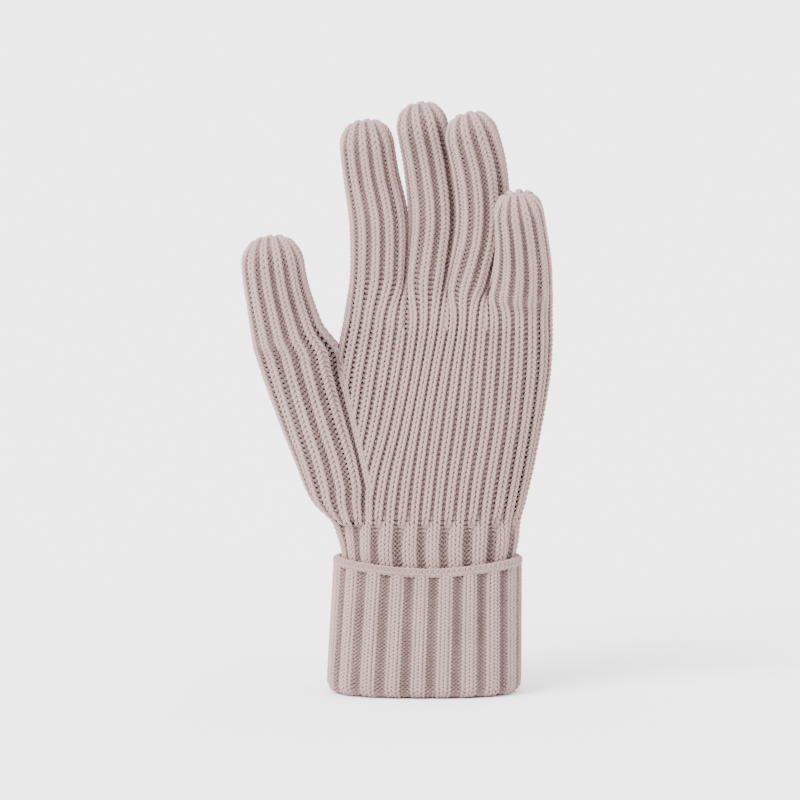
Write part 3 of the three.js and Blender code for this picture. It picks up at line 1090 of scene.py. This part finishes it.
finger_rib = dict(
    Yarn_radius=0.68 * mm,
    Loop_swing=0.3,
    Loop_height=0.95,
    Loop_depth=0.65 * mm,
    Lift_above=0.75 * mm,
    Share_above=0.0,
    Stretch_above=1.0,
    Direction=-1.0,
)
TIP_LIFT = 0.4 * mm
ROOT_CHANGE = 14.0  # courses over which the hand's rib turns into the digit's
TIP_CHANGE = 9.0  # courses below the top over which the ridges sink
FOLDS = {"lower": "root_fold", "middle": "knuckle_fold", "tip": "tip_fold"}


def digit_rib(name, at_root, at_tip, courses):
    """A digit's rib. It starts like the hand's at the root, and its ridges sink over the tip."""
    rib = dict(finger_rib, Lift_below=finger_rib["Lift_above"], Share_below=0.0, Stretch_below=1.0)
    if at_root:
        hand_like = gusset_rib if name == "thumb" else hand_rib
        rib.update(Lift_below=hand_like["Lift_above"], Share_below=hand_like["Share_above"])
        rib.update(Stretch_below=hand_like["Stretch_above"])
        rib.update(Change_from=0.0, Change_to=ROOT_CHANGE)
    elif at_tip:
        rib.update(Lift_above=TIP_LIFT)
        rib.update(Change_from=courses - TIP_CHANGE, Change_to=courses - 1.0)
    return rib


def make_digit(name, digit):
    """Knits a digit in one piece for each bone, blended over the joint below it."""
    places, values, length = digit["line"]
    tip, base = tip_and_base(values, length)
    total = base + tip * TIP_RUN - digit["run_start"]
    courses = round(total / DIGIT_ROW)
    wales = digit["wales"]

    def row(course, wale):
        return digit_row(digit, course, wale)

    smooth = surface(
        name + "_base", row, wales, courses, digit["aligned"] - 3, digit["aligned"] + wales + 3
    )
    bends = [np.interp(i, places, length) for i in range(1, len(digit["path"]) - 1)]
    seams = [0, *((a + b) / 2 for a, b in zip(bends, bends[1:])), total + digit["run_start"]]
    bodies = ["hand", name + "_lower", name + "_middle", name + "_tip"]
    if name == "thumb":
        bodies.remove("thumb_middle")
    ends = [round((seam - digit["run_start"]) / DIGIT_ROW) for seam in seams]
    ends[0], ends[-1] = 0, courses
    for i in range(len(bends)):
        first, last = ends[i], ends[i + 1]
        piece = knitted(
            f"{bodies[i + 1]}_knit",
            smooth,
            Wales_in_map=float(wales),
            Courses_in_map=float(courses),
            First_course=float(first),
            Courses=last - first + (1 if i == len(bends) - 1 else 0),
            First_wale=float(digit["aligned"]),
            Wales=wales,
            **digit_rib(name, i == 0, i == len(bends) - 1, courses),
        )
        span = (digit["aligned"], digit["aligned"] + wales)
        joined(piece, inner_face(row, span, (first - 0.5, min(last, courses - 1)), True))
        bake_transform(piece)
        part = bodies[i + 1].split("_")[1]
        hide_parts(bodies[i + 1], f"{name}_{FOLDS[part]}")
    bpy.data.objects.remove(smooth)


for name, digit in DIGITS.items():
    make_digit(name, digit)

# ---------------------------------------------------------------------------
# Studio. A seamless pale floor that runs out of sight, one broad soft lamp from
# the upper left, and white air all round that fills the shadows. The camera stands
# in front of the palm, a little above its middle.
# ---------------------------------------------------------------------------

FLOOR = 30.0  # half its width
LAMP_WAY = (0.75, 0.8, -0.85)  # the way its light goes
MIDDLE = Vector((-0.0096, 0, 0.1182))  # where the camera looks
VIEW_WIDTH = 0.3222  # what it takes in across the glove
DISTANCE = 2.4


def lay_floor():
    corners = [(x * FLOOR, y * FLOOR, 0) for x, y in ((-1, -1), (1, -1), (1, 1), (-1, 1))]
    mesh = bpy.data.meshes.new("studio_floor")
    mesh.from_pydata(corners, [], [(0, 1, 2, 3)])
    made = set_out("studio_floor", mesh)
    white = bpy.data.materials.new("studio_white")
    white.use_nodes = True
    shader = white.node_tree.nodes["Principled BSDF"]
    shader.inputs["Base Color"].default_value = (0.95, 0.95, 0.95, 1)
    shader.inputs["Roughness"].default_value = 0.9
    mesh.materials.append(white)


lay_floor()

lamp = bpy.data.lights.new("key", "SUN")
lamp.energy = 7
lamp.angle = math.radians(38)
key = set_out("key", lamp)
key.rotation_euler = Vector(LAMP_WAY).to_track_quat("-Z", "Y").to_euler()

world = bpy.data.worlds.new("studio_air")
world.use_nodes = True
world.node_tree.nodes["Background"].inputs["Color"].default_value = (1, 1, 1, 1)
world.node_tree.nodes["Background"].inputs["Strength"].default_value = 3.0
bpy.context.scene.world = world

camera = bpy.data.cameras.new("camera")
camera.sensor_width = 36
camera.lens = camera.sensor_width * DISTANCE / VIEW_WIDTH
camera.clip_start, camera.clip_end = 0.01, 20
eye = set_out("camera", camera)
tilt = math.radians(5)
eye.location = (MIDDLE.x, -DISTANCE * math.cos(tilt), MIDDLE.z + DISTANCE * math.sin(tilt))
eye.rotation_euler = (MIDDLE - eye.location).to_track_quat("-Z", "Y").to_euler()
bpy.context.scene.camera = eye
